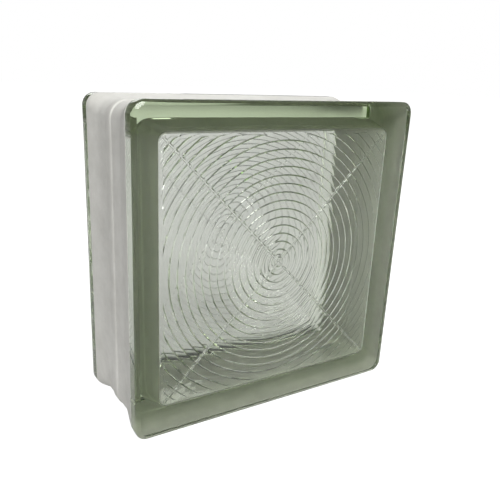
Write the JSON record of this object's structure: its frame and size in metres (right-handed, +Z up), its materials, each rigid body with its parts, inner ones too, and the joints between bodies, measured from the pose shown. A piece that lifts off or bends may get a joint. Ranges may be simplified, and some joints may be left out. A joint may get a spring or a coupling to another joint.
{
  "type": "glass block",
  "caption": "Hollow square glass block with a concentric ring and diagonal pattern inside both faces and a white coated mortar channel round its edge.",
  "frame": {"origin": "middle of the block's footprint, on the plane of its lower rims", "axes": "+Z up, +X along the width, -Y out of the front face, +Y out of the back face"},
  "size_m": [0.19, 0.08, 0.19],
  "materials": {
    "glass": "clear pressed glass with a green tint, fire polished",
    "key_coat": "matt white brushed-on coat, slightly uneven"
  },
  "bodies": {
    "root": {"glass_block": "glass", "edge_coat": "key_coat"}
  },
  "joints": []
}
